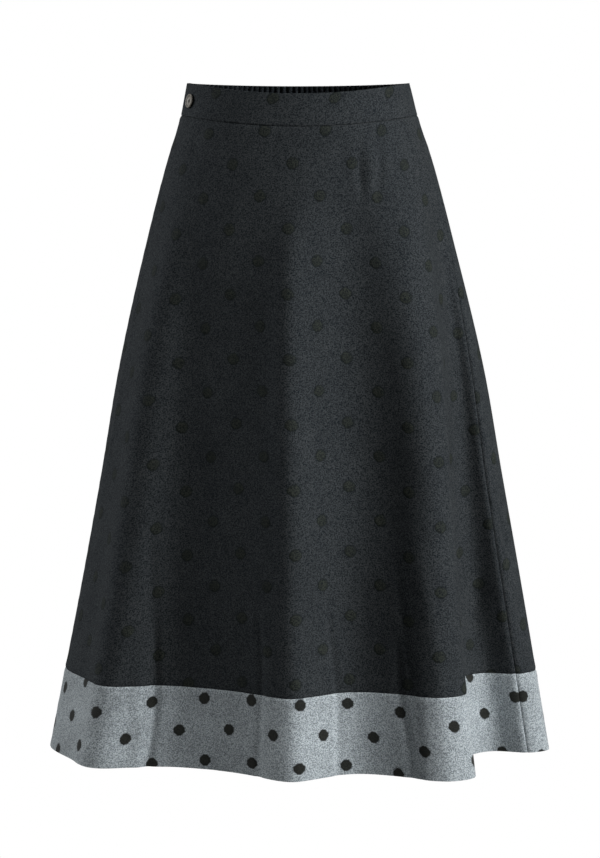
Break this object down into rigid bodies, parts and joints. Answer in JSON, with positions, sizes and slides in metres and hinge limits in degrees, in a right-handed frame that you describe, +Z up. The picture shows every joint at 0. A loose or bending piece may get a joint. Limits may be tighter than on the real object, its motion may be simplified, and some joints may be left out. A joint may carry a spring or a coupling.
{
  "type": "denim skirt",
  "caption": "A-line midi skirt in dark dotted denim with a pale contrast hem band, a smooth front waistband, a gathered elastic back and a side button.",
  "frame": {"origin": "centre of the waist opening, level with the waistband's top edge at the side seams", "axes": "+Z up along the wearer, -Y towards the wearer's front, +X towards the wearer's left"},
  "size_m": [0.5893, 0.3721, 0.7822],
  "materials": {
    "dark_denim": "matte twill, navy-black with woven dots",
    "denim_reverse": "matte twill, grey-blue reverse with dark dots",
    "button": "satin, grey-brown"
  },
  "bodies": {
    "root": {"front_panel": "dark_denim", "back_panel": "dark_denim", "waistband_front": "dark_denim", "waistband_back": "dark_denim", "hem_band_front": "denim_reverse", "hem_band_back": "denim_reverse", "button": "button"}
  },
  "joints": []
}
